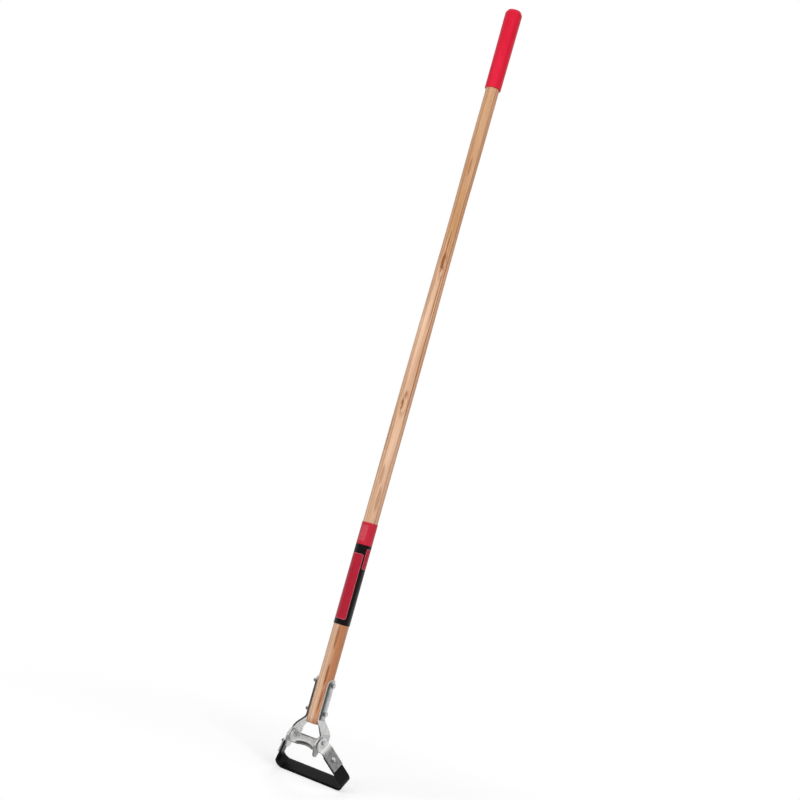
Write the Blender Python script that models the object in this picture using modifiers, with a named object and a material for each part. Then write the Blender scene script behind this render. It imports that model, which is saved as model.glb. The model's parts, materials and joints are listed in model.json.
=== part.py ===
"""Action hoe: a swinging stirrup blade on a long ash handle.

Metres, +Z along the handle towards the grip, +X along the pivot and the blade, +Y away from the
side that the pivot is offset to. The world origin is the middle of the blade's flat underside.
"""
import math

import bmesh
import bpy
from mathutils import Matrix, Vector

# Handle: distances are measured up from its lower end face.
HANDLE_LENGTH = 1.3685
FOOT_DIA = 0.0284
BODY_DIA = 0.0273
WAIST_DIA = 0.0241
NECK_DIA = 0.0258
FOOT_TAPER_START = 0.200
BODY_START = 0.400
BODY_END = 0.610
WAIST_HEIGHT = 0.955
NECK_HEIGHT = 1.100
FOOT_CHAMFER = 0.0008

# Clearances between touching pieces, holes round shanks, and the running fit of the pivot.
SEAT_GAP = 0.0003
HOLE_CLEARANCE = 0.0003
RUNNING_CLEARANCE = 0.0003

# Vinyl grip pulled over the top of the handle.
GRIP_COVER = 0.1585
GRIP_MOUTH_WALL = 0.0022
GRIP_TOP_WALL = 0.0031
GRIP_END_WALL = 0.0032
GRIP_DOME = 0.0085
GRIP_RIM_CHAMFER = 0.0008

# Printed sleeve shrunk round the handle.
SLEEVE_BOTTOM = 0.1785
SLEEVE_LENGTH = 0.187
SLEEVE_WALL = 0.0005

# Yoke: two steel straps, curved round the handle at the top and flat below it.
YOKE_THICKNESS = 0.003
YOKE_NECK_WIDTH = 0.022
YOKE_WIDTH = 0.0305
YOKE_ABOVE_BOLT = 0.0095
YOKE_TOP_ROUND = 0.010
SPLAY_START = 0.0085
SPLAY_DEPTH = 0.0136
LEG_SPREAD = 0.0595
LEG_TIP_RADIUS = 0.007
LEG_TIP_FORWARD = 0.0162
LEG_TIP_DROP = 0.0445
LEG_FRONT_SWELL = 0.0062
LEG_REAR_STRAIGHT = 0.33
SPLAY_BEND_RADIUS = 0.006
LEG_BEND_RADIUS = 0.0035

# Through bolts that clamp the yoke to the handle.
LOWER_BOLT_HEIGHT = 0.0209
BOLT_SPACING = 0.051
BOLT_DIA = 0.005
HEX_ACROSS_FLATS = 0.008
BOLT_HEAD_HEIGHT = 0.0035
NUT_HEIGHT = 0.0045
BOLT_END_STICKOUT = 0.0022

# Pivot of the stirrup, below the handle's lower end and forward of the handle's axis.
PIVOT_DROP = 0.0244
PIVOT_FORWARD = 0.009
PIVOT_BOLT_DIA = 0.006
PIVOT_HEAD_DIA = 0.011
PIVOT_HEAD_HEIGHT = 0.0026
PIVOT_NUT_FLATS = 0.010
PIVOT_NUT_HEIGHT = 0.0032
PIVOT_END_STICKOUT = 0.0006
WASHER_DIA = 0.0125
WASHER_THICKNESS = 0.001

# Stirrup: blade plane turned from square to the handle by the tilt, straps of bent strip.
BLADE_TILT = math.radians(40.8)
STIRRUP_SETBACK = 0.0028
ARM_WIDTH = 0.026
ARM_THICKNESS = 0.0025
BRIDGE_DROP = 0.0074
EAR_HEIGHT = 0.0064
EAR_CORNER = 0.010
SHOULDER_HALF_SPAN = 0.0416
SHOULDER_RADIUS = 0.0045
EAR_BEND_RADIUS = 0.0032
ARM_LEAN = math.radians(29.2)
ARM_DROP = 0.0385
BRIDGE_WAIST = 0.0069
BRIDGE_FAR_STEP = 0.0018
BRIDGE_LIP = 0.0042
BRIDGE_LIP_REACH = 0.0065
BRIDGE_BEND_RADIUS = 0.0034

# Blade: a strip bent into a wide U whose ends lie inside the arms.
BLADE_WIDTH = 0.0268
BLADE_THICKNESS = 0.0028
BLADE_DEPTH = 0.0831
BLADE_CORNER_RADIUS = 0.0114
BLADE_END_DROP = 0.012
RIVET_DROP = 0.0225
RIVET_DIA = 0.005
RIVET_HEAD_DIA = 0.009
RIVET_HEAD_HEIGHT = 0.0022
RIVET_BACK_DIA = 0.008
RIVET_BACK_HEIGHT = 0.001

# Facets round a full turn.
ROUND_STEPS = 40
SMALL_STEPS = 24


for old in list(bpy.data.objects):
    bpy.data.objects.remove(old, do_unlink=True)

hoe = bpy.data.collections.new("action_hoe")
cutters = bpy.data.collections.new("cutters")
for group in (hoe, cutters):
    bpy.context.scene.collection.children.link(group)


def material(name, color, roughness, metallic=0.0):
    made = bpy.data.materials.new(name)
    made.use_nodes = True
    shader = made.node_tree.nodes["Principled BSDF"]
    shader.inputs["Base Color"].default_value = (*color, 1.0)
    shader.inputs["Roughness"].default_value = roughness
    shader.inputs["Metallic"].default_value = metallic
    return made


def frame(name, location, parent=None, turn=0.0):
    empty = bpy.data.objects.new(name, None)
    empty.location = location
    empty.rotation_euler = (turn, 0.0, 0.0)
    empty.parent = parent
    hoe.objects.link(empty)
    return empty


def place(name, mesh, parent, mat, location=(0.0, 0.0, 0.0), rotation=(0.0, 0.0, 0.0)):
    piece = bpy.data.objects.new(name, mesh)
    piece.location = location
    piece.rotation_euler = rotation
    piece.parent = parent
    hoe.objects.link(piece)
    mesh.materials.append(mat)
    return piece


def settled(piece):
    """Give the piece its evaluated mesh and drop the modifiers that shaped it."""
    bpy.context.view_layer.update()
    graph = bpy.context.evaluated_depsgraph_get()
    mesh = bpy.data.meshes.new_from_object(piece.evaluated_get(graph))
    piece.modifiers.clear()
    piece.data = mesh
    return piece


def shade(piece, degrees=35.0):
    piece.data.shade_smooth()
    piece.data.set_sharp_from_angle(angle=math.radians(degrees))


def cylinder_cutter(name, radius, length, parent, location, rotation=(0.0, math.pi / 2, 0.0)):
    """A round cutter lying along X unless it is turned otherwise."""
    mesh = bpy.data.meshes.new(name)
    shape = bmesh.new()
    bmesh.ops.create_cone(shape, cap_ends=True, segments=SMALL_STEPS, radius1=radius,
                          radius2=radius, depth=length)
    shape.to_mesh(mesh)
    shape.free()
    cutter = bpy.data.objects.new(name, mesh)
    cutter.location = location
    cutter.rotation_euler = rotation
    cutter.parent = parent
    cutter.hide_render = True
    cutter.display_type = 'WIRE'
    cutters.objects.link(cutter)
    return cutter


def cut(piece, *tools):
    for tool in tools:
        step = piece.modifiers.new("cut_" + tool.name, 'BOOLEAN')
        step.operation = 'DIFFERENCE'
        step.solver = 'EXACT'
        step.object = tool


def turned(name, profile, parent, mat, steps, location=(0.0, 0.0, 0.0),
           rotation=(0.0, 0.0, 0.0), ring=False):
    """Turn a profile of (radius, height) round Z. It runs top to bottom on its outer side."""
    mesh = bpy.data.meshes.new(name)
    shape = bmesh.new()
    points = [shape.verts.new((radius, 0.0, height)) for radius, height in profile]
    for first, second in zip(points, points[1:]):
        shape.edges.new((first, second))
    if ring:
        shape.edges.new((points[-1], points[0]))
    shape.to_mesh(mesh)
    shape.free()
    piece = place(name, mesh, parent, mat, location, rotation)
    spin = piece.modifiers.new("turn", 'SCREW')
    spin.axis = 'Z'
    spin.steps = steps
    spin.render_steps = steps
    spin.use_merge_vertices = True
    spin.merge_threshold = 0.00002
    spin.use_smooth_shade = True
    settled(piece)
    shade(piece)
    return piece


def smooth(value):
    value = min(1.0, max(0.0, value))
    return value * value * (3.0 - 2.0 * value)


def handle_radius(height):
    """Radius of the wood: straight foot and body, slim waist, slightly fuller neck."""
    stations = ((FOOT_TAPER_START, FOOT_DIA), (BODY_START, BODY_DIA), (BODY_END, BODY_DIA),
                (WAIST_HEIGHT, WAIST_DIA), (NECK_HEIGHT, NECK_DIA))
    if height <= stations[0][0]:
        return FOOT_DIA / 2
    for (low, low_dia), (high, high_dia) in zip(stations, stations[1:]):
        if height <= high:
            share = smooth((height - low) / (high - low))
            return (low_dia + (high_dia - low_dia) * share) / 2
    return NECK_DIA / 2


def corner_arc(before, corner, after, radius, steps):
    """Points of a fillet of the given radius that rounds a corner of a path."""
    back = (before - corner).normalized()
    ahead = (after - corner).normalized()
    half = back.angle(ahead) / 2
    reach = radius / math.tan(half)
    centre = corner + (back + ahead).normalized() * (radius / math.sin(half))
    start = corner + back * reach - centre
    finish = corner + ahead * reach - centre
    sweep = start.angle_signed(finish)
    points = []
    for index in range(steps + 1):
        turn = -sweep * index / steps
        arm = Vector((start.x * math.cos(turn) - start.y * math.sin(turn),
                      start.x * math.sin(turn) + start.y * math.cos(turn)))
        points.append(centre + arm)
    return points


def rounded_path(corners, radii, steps=6):
    """A path through 2D corners whose inner corners are filleted with the radii."""
    path = [corners[0]]
    for index, radius in enumerate(radii, start=1):
        path += corner_arc(corners[index - 1], corners[index], corners[index + 1], radius, steps)
    path.append(corners[-1])
    return path


def strip(name, path, low, high, thickness, parent, mat, rows=1):
    """Bent strip: a path in X and Z, drawn out along Y from low to high, made thick."""
    mesh = bpy.data.meshes.new(name)
    shape = bmesh.new()
    line = [shape.verts.new((point.x, low, point.y)) for point in path]
    edges = [shape.edges.new(pair) for pair in zip(line, line[1:])]
    for _ in range(rows):
        grown = bmesh.ops.extrude_edge_only(shape, edges=edges)["geom"]
        moved = [item for item in grown if isinstance(item, bmesh.types.BMVert)]
        bmesh.ops.translate(shape, verts=moved, vec=(0.0, (high - low) / rows, 0.0))
        edges = [item for item in grown if isinstance(item, bmesh.types.BMEdge)]
    shape.to_mesh(mesh)
    shape.free()
    piece = place(name, mesh, parent, mat)
    wall = piece.modifiers.new("thickness", 'SOLIDIFY')
    wall.thickness = thickness
    wall.offset = 0.0
    wall.use_even_offset = True
    return settled(piece)


def hexagon(name, across, height, parent, mat, location, rotation, bore=0.0):
    """Hexagon prism with a chamfered far end, seated at its origin and standing along +Z."""
    mesh = bpy.data.meshes.new(name)
    shape = bmesh.new()
    bmesh.ops.create_cone(shape, cap_ends=True, segments=6, radius1=across / math.sqrt(3),
                          radius2=across / math.sqrt(3), depth=height,
                          matrix=Matrix.Translation((0.0, 0.0, height / 2)))
    top = [edge for edge in shape.edges if all(v.co.z > height * 0.9 for v in edge.verts)]
    bmesh.ops.bevel(shape, geom=top, offset=across * 0.06, segments=1, affect='EDGES')
    shape.to_mesh(mesh)
    shape.free()
    piece = place(name, mesh, parent, mat, location, rotation)
    if bore:
        cut(piece, cylinder_cutter(name + "_bore", bore, height * 3, piece, (0.0, 0.0, 0.0),
                                   (0.0, 0.0, 0.0)))
    return piece


wood = material("ash_wood", (0.74, 0.50, 0.30), 0.5)
vinyl = material("red_vinyl", (0.75, 0.03, 0.07), 0.35)
print_film = material("printed_film", (0.05, 0.03, 0.03), 0.4)
zinc = material("zinc_plated_steel", (0.62, 0.62, 0.63), 0.32, 1.0)
zinc_bolt = material("zinc_plated_fastener", (0.66, 0.66, 0.66), 0.28, 1.0)
black_steel = material("black_painted_steel", (0.012, 0.012, 0.013), 0.35, 0.0)

# The handle's foot stands over the pivot, and the pivot over the blade, so that the middle of
# the blade's underside is the origin.
ACROSS = Vector((0.0, math.cos(BLADE_TILT), math.sin(BLADE_TILT)))
UPWARD = Vector((0.0, -math.sin(BLADE_TILT), math.cos(BLADE_TILT)))
underside = -STIRRUP_SETBACK * ACROSS - (BLADE_DEPTH + BLADE_THICKNESS) * UPWARD
handle_foot = frame("handle_foot", -underside + Vector((0.0, PIVOT_FORWARD, PIVOT_DROP)))
head_pivot = frame("head_pivot", (0.0, -PIVOT_FORWARD, -PIVOT_DROP), handle_foot, BLADE_TILT)

# Handle.
foot_radius = FOOT_DIA / 2
heights = [HANDLE_LENGTH - step * HANDLE_LENGTH / 36 for step in range(36)]
profile = [(0.0, HANDLE_LENGTH)]
profile += [(handle_radius(height), height) for height in heights]
profile += [(foot_radius, FOOT_CHAMFER), (foot_radius - FOOT_CHAMFER, 0.0), (0.0, 0.0)]
handle = turned("handle", profile, handle_foot, wood, ROUND_STEPS)

# Vinyl grip: a sleeve with a domed closed end.
grip_mouth = HANDLE_LENGTH - GRIP_COVER
bore_radius = handle_radius(HANDLE_LENGTH) + SEAT_GAP
mouth_radius = handle_radius(grip_mouth) + SEAT_GAP
grip_top = HANDLE_LENGTH + SEAT_GAP + GRIP_END_WALL
top_radius = bore_radius + GRIP_TOP_WALL
outer = []
for step in range(9):
    turn = math.pi / 2 * step / 8
    outer.append((top_radius * math.sin(turn) ** 0.8 if step else 0.0,
                  grip_top - GRIP_DOME * (1.0 - math.cos(turn))))
outer += [(mouth_radius + GRIP_MOUTH_WALL, grip_mouth + GRIP_RIM_CHAMFER),
          (mouth_radius + GRIP_MOUTH_WALL - GRIP_RIM_CHAMFER, grip_mouth),
          (mouth_radius, grip_mouth)]
outer += [(bore_radius, HANDLE_LENGTH + SEAT_GAP), (0.0, HANDLE_LENGTH + SEAT_GAP)]
grip = turned("grip", outer, handle_foot, vinyl, ROUND_STEPS)

# Printed sleeve.
sleeve_top = SLEEVE_BOTTOM + SLEEVE_LENGTH
rings = [sleeve_top - SLEEVE_LENGTH * step / 5 for step in range(6)]
outside = [(handle_radius(height) + SEAT_GAP + SLEEVE_WALL, height) for height in rings]
inside = [(handle_radius(height) + SEAT_GAP, height) for height in reversed(rings)]
turned("label_sleeve", outside + inside, handle_foot, print_film, ROUND_STEPS, ring=True)

# Yoke straps.
upper_bolt_height = LOWER_BOLT_HEIGHT + BOLT_SPACING
yoke_top = upper_bolt_height + YOKE_ABOVE_BOLT
leg_middle = LEG_SPREAD / 2
crown = foot_radius + SEAT_GAP + YOKE_THICKNESS / 2
tip_height = -LEG_TIP_DROP


def strap_path():
    """Middle line of a strap in X and Z, from its top end down to the tip of its leg."""
    corners = [Vector((crown, yoke_top)), Vector((crown, SPLAY_START)),
               Vector((leg_middle, -SPLAY_DEPTH)), Vector((leg_middle, tip_height - LEG_TIP_RADIUS))]
    bent = rounded_path(corners, (SPLAY_BEND_RADIUS, LEG_BEND_RADIUS), 5)
    ramp = [YOKE_TOP_ROUND * (1.0 - math.cos(math.pi / 2 * step / 6)) for step in range(7)]
    top = [Vector((crown, yoke_top - drop)) for drop in ramp]
    body = [top[-1].lerp(bent[1], step / 6) for step in range(1, 6)]
    run_start, run_end = bent[-2].y, tip_height
    leg = [Vector((leg_middle, run_start + (run_end - run_start) * step / 8))
           for step in range(1, 9)]
    tip = [Vector((leg_middle, tip_height - LEG_TIP_RADIUS * math.sin(math.pi / 2 * step / 6)))
           for step in range(1, 7)]
    return top + body + bent[1:-1] + leg + tip


def strap_edges(point):
    """Front and rear edge of the flat strip, in Y, at a height of its middle line."""
    widening = smooth((SPLAY_START + YOKE_THICKNESS - point.y) / (SPLAY_START + SPLAY_DEPTH))
    half = (YOKE_NECK_WIDTH + (YOKE_WIDTH - YOKE_NECK_WIDTH) * widening) / 2
    from_top = yoke_top - point.y
    if from_top < YOKE_TOP_ROUND:
        half *= math.sqrt(max(0.03, 1.0 - (1.0 - from_top / YOKE_TOP_ROUND) ** 2))
    front, rear = -half, half
    below_bend = -SPLAY_DEPTH - point.y
    if below_bend > 0.0:
        run = -SPLAY_DEPTH - tip_height
        share = min(1.0, below_bend / run)
        front = -half + (half - LEG_TIP_FORWARD - LEG_TIP_RADIUS) * share
        front -= LEG_FRONT_SWELL * math.sin(math.pi * share ** 1.36) ** 2
        rear = half + (LEG_TIP_RADIUS - LEG_TIP_FORWARD - half) * smooth(
            (share - LEG_REAR_STRAIGHT) / (1.0 - LEG_REAR_STRAIGHT))
    if point.y < tip_height:
        reach = tip_height - point.y
        bulge = math.sqrt(max(0.02 * LEG_TIP_RADIUS ** 2, LEG_TIP_RADIUS ** 2 - reach ** 2))
        front, rear = -LEG_TIP_FORWARD - bulge, -LEG_TIP_FORWARD + bulge
    return front, rear


def yoke_strap(name, side):
    path = strap_path()
    columns = 10
    mesh = bpy.data.meshes.new(name)
    shape = bmesh.new()
    bmesh.ops.create_grid(shape, x_segments=len(path) - 1, y_segments=columns, size=0.5)
    for vert in shape.verts:
        row = round((vert.co.x + 0.5) * (len(path) - 1))
        across = vert.co.y + 0.5
        point = path[row]
        front, rear = strap_edges(point)
        flat = front + (rear - front) * across
        hug = smooth((point.y + SPLAY_DEPTH * 0.6) / (SPLAY_START + SPLAY_DEPTH * 1.1))
        bend = hug / crown
        if bend > 1e-6:
            sag = (1.0 - math.cos(bend * flat)) / bend
            flat = math.sin(bend * flat) / bend
        else:
            sag = 0.0
        vert.co = Vector(((point.x - sag) * side, flat, point.y))
    bmesh.ops.recalc_face_normals(shape, faces=shape.faces)
    shape.to_mesh(mesh)
    shape.free()
    piece = place(name, mesh, handle_foot, zinc)
    wall = piece.modifiers.new("thickness", 'SOLIDIFY')
    wall.thickness = YOKE_THICKNESS
    wall.offset = 0.0
    wall.use_even_offset = True
    settled(piece)
    shade(piece)
    return piece


straps = [yoke_strap("yoke_strap_right", 1), yoke_strap("yoke_strap_left", -1)]

# Handle bolts and nuts, and the holes that they pass through.
bolt_radius = BOLT_DIA / 2
seat = crown + YOKE_THICKNESS / 2 + SEAT_GAP
for label, height in (("lower", LOWER_BOLT_HEIGHT), ("upper", upper_bolt_height)):
    cutter = cylinder_cutter("bolt_hole_" + label, bolt_radius + HOLE_CLEARANCE, seat * 3,
                             handle_foot, (0.0, 0.0, height))
    for piece in (handle, *straps):
        cut(piece, cutter)
    shank = 2 * seat + NUT_HEIGHT + BOLT_END_STICKOUT
    bolt = hexagon("handle_bolt_" + label, HEX_ACROSS_FLATS, BOLT_HEAD_HEIGHT, handle_foot,
                   zinc_bolt, (seat, 0.0, height), (0.0, math.pi / 2, 0.0))
    stem = cylinder_cutter("bolt_stem_" + label, bolt_radius, shank + BOLT_HEAD_HEIGHT / 2,
                           bolt, (0.0, 0.0, (BOLT_HEAD_HEIGHT / 2 - shank) / 2), (0.0, 0.0, 0.0))
    join = bolt.modifiers.new("stem", 'BOOLEAN')
    join.operation = 'UNION'
    join.solver = 'EXACT'
    join.object = stem
    hexagon("handle_nut_" + label, HEX_ACROSS_FLATS, NUT_HEIGHT, handle_foot, zinc_bolt,
            (-seat, 0.0, height), (0.0, -math.pi / 2, 0.0), bolt_radius + HOLE_CLEARANCE)

# Stirrup. Its pieces are drawn in the pivot's own frame: X along the pivot, Y across the blade,
# Z from the blade towards the handle.
leg_inner = leg_middle - YOKE_THICKNESS / 2
leg_outer = leg_middle + YOKE_THICKNESS / 2
bridge_outer = leg_inner - SEAT_GAP
washer_inner = leg_outer + SEAT_GAP
ear_inner = washer_inner + WASHER_THICKNESS + SEAT_GAP
ear_middle = ear_inner + ARM_THICKNESS / 2
run_middle = -BRIDGE_DROP - ARM_THICKNESS / 2
near_edge = -STIRRUP_SETBACK - ARM_WIDTH / 2
far_edge = -STIRRUP_SETBACK + ARM_WIDTH / 2
lean = Vector((math.sin(ARM_LEAN), -math.cos(ARM_LEAN)))
outward = Vector((math.cos(ARM_LEAN), math.sin(ARM_LEAN)))
shoulder = Vector((SHOULDER_HALF_SPAN, -BRIDGE_DROP))
pivot_radius = PIVOT_BOLT_DIA / 2
pivot_cutters = [cylinder_cutter("pivot_hole_" + label, pivot_radius + RUNNING_CLEARANCE,
                                 LEG_SPREAD / 2, head_pivot, (side * leg_middle, 0.0, 0.0))
                 for label, side in (("right", 1), ("left", -1))]
for strap_piece, cutter in zip(straps, pivot_cutters):
    cut(strap_piece, cutter)


def mirrored(path, side):
    return [Vector((point.x * side, point.y)) for point in path]


def round_corners(piece, radius, chosen):
    """Round the strip's free corners: the short edges through its wall that are chosen."""
    shape = bmesh.new()
    shape.from_mesh(piece.data)
    picked = [edge for edge in shape.edges if chosen(edge)]
    bmesh.ops.bevel(shape, geom=picked, offset=radius, segments=8, profile=0.5, affect='EDGES')
    shape.to_mesh(piece.data)
    shape.free()


def line_corner(point, direction, level):
    """Where a sloping line reaches a level: used to find a strip's bend corner."""
    return point + direction * ((level - point.y) / direction.y)


arm_line = shoulder - outward * (ARM_THICKNESS / 2)
arm_corner = line_corner(arm_line, lean, run_middle)
arm_end = line_corner(arm_line, lean, -BRIDGE_DROP - ARM_DROP)
blade_line = shoulder - outward * (ARM_THICKNESS + SEAT_GAP + BLADE_THICKNESS / 2)
blade_level = -BLADE_DEPTH - BLADE_THICKNESS / 2
blade_corner = line_corner(blade_line, lean, blade_level)
blade_end = line_corner(blade_line, lean, -BRIDGE_DROP - BLADE_END_DROP)
rivet_point = line_corner(shoulder, lean, -BRIDGE_DROP - RIVET_DROP)

rivet_cutters = []
for label, side in (("right", 1), ("left", -1)):
    through = rivet_point - outward * (ARM_THICKNESS + BLADE_THICKNESS) / 2
    rivet_cutters.append(cylinder_cutter(
        "rivet_hole_" + label, RIVET_DIA / 2 + HOLE_CLEARANCE,
        (ARM_THICKNESS + BLADE_THICKNESS) * 4, head_pivot,
        (side * through.x, -STIRRUP_SETBACK, through.y),
        (0.0, side * (math.pi / 2 - ARM_LEAN), 0.0)))

for index, (label, side) in enumerate((("right", 1), ("left", -1))):
    corners = [Vector((ear_middle, EAR_HEIGHT)), Vector((ear_middle, run_middle)),
               arm_corner, arm_end]
    path = rounded_path(corners, (EAR_BEND_RADIUS, SHOULDER_RADIUS), 5)
    arm = strip("side_arm_" + label, mirrored(path, side), near_edge, far_edge, ARM_THICKNESS,
                head_pivot, zinc)
    round_corners(arm, EAR_CORNER, lambda edge: all(
        v.co.z > EAR_HEIGHT - 1e-5 for v in edge.verts)
        and abs(edge.verts[0].co.y - edge.verts[1].co.y) < 1e-6)
    cut(arm, pivot_cutters[index], rivet_cutters[index])
    shade(arm)

# Bridge: a waisted plate whose near edge is turned down in the middle, with a flange at each end
# that lies against the inner face of a leg. Its far edge stops short of the arms' far edge.
flange_middle = bridge_outer - ARM_THICKNESS / 2
bridge_far = far_edge - BRIDGE_FAR_STEP
bridge_width = bridge_far - near_edge
corners = [Vector((flange_middle, EAR_HEIGHT)), Vector((flange_middle, run_middle)),
           Vector((-flange_middle, run_middle)), Vector((-flange_middle, EAR_HEIGHT))]
path = rounded_path(corners, (BRIDGE_BEND_RADIUS, BRIDGE_BEND_RADIUS), 5)
floor_start, floor_end = path[6], path[7]
floor = [floor_start.lerp(floor_end, step / 16) for step in range(1, 16)]
path = path[:7] + floor + path[7:]
bridge = strip("stirrup_bridge", path, near_edge, bridge_far, ARM_THICKNESS, head_pivot, zinc, 12)
for vert in bridge.data.vertices:
    inset = max(0.0, 1.0 - (vert.co.x / floor_start.x) ** 2)
    share = (bridge_far - vert.co.y) / bridge_width
    vert.co.y += BRIDGE_WAIST * inset * share
    from_near = (1.0 - share) * (bridge_width - BRIDGE_WAIST * inset)
    vert.co.z -= BRIDGE_LIP * smooth(1.0 - from_near / BRIDGE_LIP_REACH) * smooth(1.6 * inset)
round_corners(bridge, EAR_CORNER, lambda edge: all(
    v.co.z > EAR_HEIGHT - 1e-5 for v in edge.verts)
    and abs(edge.verts[0].co.y - edge.verts[1].co.y) < 1e-6
    and min(abs(edge.verts[0].co.y - near_edge), abs(edge.verts[0].co.y - bridge_far)) < 1e-5)
cut(bridge, *pivot_cutters)
shade(bridge)

# Blade.
corners = [blade_end, blade_corner, Vector((-blade_corner.x, blade_level)),
           Vector((-blade_end.x, blade_end.y))]
path = rounded_path(corners, (BLADE_CORNER_RADIUS, BLADE_CORNER_RADIUS), 10)
blade_low = -STIRRUP_SETBACK - BLADE_WIDTH / 2
blade = strip("blade", path, blade_low, blade_low + BLADE_WIDTH, BLADE_THICKNESS, head_pivot,
              black_steel)
cut(blade, *rivet_cutters)
shade(blade)


def domed_pin(name, head_dia, head_height, stem_dia, stem_length, mat, location, rotation,
              back_dia=0.0, back_height=0.0):
    """Round-headed pin: the head stands on +Z from the origin, the stem runs down from it."""
    half = head_dia / 2
    stem = stem_dia / 2
    points = []
    for step in range(7):
        turn = math.pi / 2 * step / 6
        points.append((half * math.sin(turn), head_height * (0.25 + 0.75 * math.cos(turn))))
    points += [(half, 0.0), (stem, 0.0)]
    if back_dia:
        points += [(stem, -stem_length), (back_dia / 2, -stem_length),
                   (back_dia / 2, -stem_length - back_height / 2),
                   (back_dia / 2 - back_height / 2, -stem_length - back_height),
                   (0.0, -stem_length - back_height)]
    else:
        points += [(stem, -stem_length + stem / 4), (stem * 0.75, -stem_length),
                   (0.0, -stem_length)]
    return turned(name, points, head_pivot, mat, SMALL_STEPS, location, rotation)


head_seat = ear_inner + ARM_THICKNESS + SEAT_GAP
nut_seat = bridge_outer - ARM_THICKNESS - SEAT_GAP
for label, side in (("right", 1), ("left", -1)):
    along = (0.0, side * math.pi / 2, 0.0)
    domed_pin("pivot_bolt_" + label, PIVOT_HEAD_DIA, PIVOT_HEAD_HEIGHT, PIVOT_BOLT_DIA,
              head_seat - nut_seat + PIVOT_NUT_HEIGHT + PIVOT_END_STICKOUT, zinc_bolt,
              (side * head_seat, 0.0, 0.0), along)
    hexagon("pivot_nut_" + label, PIVOT_NUT_FLATS, PIVOT_NUT_HEIGHT, head_pivot, zinc_bolt,
            (side * nut_seat, 0.0, 0.0), (0.0, -side * math.pi / 2, 0.0),
            pivot_radius + HOLE_CLEARANCE)
    bore = pivot_radius + HOLE_CLEARANCE
    turned("pivot_washer_" + label,
           [(WASHER_DIA / 2, WASHER_THICKNESS), (WASHER_DIA / 2, 0.0), (bore, 0.0),
            (bore, WASHER_THICKNESS)], head_pivot, zinc_bolt, SMALL_STEPS,
           (side * washer_inner, 0.0, 0.0), along, ring=True)
    tilt = side * (math.pi / 2 - ARM_LEAN)
    base = rivet_point + outward * SEAT_GAP
    domed_pin("blade_rivet_" + label, RIVET_HEAD_DIA, RIVET_HEAD_HEIGHT, RIVET_DIA,
              ARM_THICKNESS + BLADE_THICKNESS + 3 * SEAT_GAP, zinc_bolt,
              (side * base.x, -STIRRUP_SETBACK, base.y), (0.0, tilt, 0.0),
              RIVET_BACK_DIA, RIVET_BACK_HEIGHT)
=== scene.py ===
"""Looks of the action hoe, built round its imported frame. Metres, +Z up along the handle."""
import json
import math

import bmesh
import bpy
from mathutils import Matrix, Vector


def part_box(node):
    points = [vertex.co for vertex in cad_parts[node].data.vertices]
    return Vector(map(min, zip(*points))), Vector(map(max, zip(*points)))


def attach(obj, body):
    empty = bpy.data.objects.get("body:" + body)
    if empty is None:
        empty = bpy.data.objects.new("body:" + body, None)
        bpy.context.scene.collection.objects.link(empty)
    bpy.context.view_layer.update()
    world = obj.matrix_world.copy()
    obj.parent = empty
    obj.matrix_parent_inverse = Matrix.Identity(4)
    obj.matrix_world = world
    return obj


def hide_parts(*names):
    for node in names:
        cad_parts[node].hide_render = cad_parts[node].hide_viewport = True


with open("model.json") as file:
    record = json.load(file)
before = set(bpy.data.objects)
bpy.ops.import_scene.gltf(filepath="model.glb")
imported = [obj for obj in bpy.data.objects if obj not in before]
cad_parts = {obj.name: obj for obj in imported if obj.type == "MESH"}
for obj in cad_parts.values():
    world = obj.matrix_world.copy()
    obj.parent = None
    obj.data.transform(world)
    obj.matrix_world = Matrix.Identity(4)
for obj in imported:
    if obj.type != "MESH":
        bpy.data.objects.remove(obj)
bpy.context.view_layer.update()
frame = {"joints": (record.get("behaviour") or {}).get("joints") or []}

# Handle: one straight stick of ash, 1.37 m long. It is turned on a copying lathe, slim at the
# waist and fuller at the foot, then sanded along the grain and lacquered clear.
HANDLE_SIDES = 96
HANDLE_RINGS = 150
HANDLE_STATIONS = ((0.200, 0.0142), (0.400, 0.01365), (0.610, 0.01365), (0.955, 0.01205),
                   (1.100, 0.0129))
FOOT_CHAMFER = 0.0008
BOLT_HOLE_RADIUS = 0.0028
BOLT_DRILL_LENGTH = 0.05
BOLT_HEIGHTS = (0.0209, 0.0719)
HANDLE_TOP_CHAMFER = 0.0025
ASH_PALE = (244, 204, 173)
ASH_GOLD = (199, 148, 100)
ASH_HEART = (216, 144, 98)
ASH_BROWN = (150, 86, 44)
# Knots: height and azimuth in degrees. A knot's sizes are half a length and half a width in the
# same units, and so is the shift of its heart.
KNOTS = ((0.852, -66), (0.588, -72))
KNOT_RIM = (0.0105, 11)
KNOT_HEART = (0.0040, 6)
KNOT_HEART_SHIFT = (0.0030, 5)
KNOT_BEND = (0.034, 52)
# Brown streaks: height, half length, azimuth and half width in degrees, and depth of colour.
STREAKS = (
    (0.896, 0.034, -66, 7, 0.72), (0.865, 0.019, -68, 18, 0.78), (0.851, 0.005, -50, 8, 0.50),
    (0.795, 0.055, -107, 7, 0.45), (0.790, 0.062, -43, 6, 0.50), (1.050, 0.024, -64, 11, 0.50),
    (0.540, 0.045, -114, 7, 0.40), (0.455, 0.024, -70, 15, 0.36), (0.410, 0.030, -52, 17, 0.36),
    (0.605, 0.009, -60, 10, 0.40), (0.690, 0.160, -24, 5, 0.26), (0.157, 0.028, -65, 11, 0.58),
    (0.118, 0.075, -5, 17, 0.34), (0.088, 0.024, -63, 10, 0.58), (0.040, 0.026, -59, 7, 0.45),
    (0.620, 0.150, 120, 9, 0.45), (1.010, 0.120, 160, 11, 0.40), (0.330, 0.090, 85, 8, 0.40))
HEARTWOOD_FRONT = (-27, -8)
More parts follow.
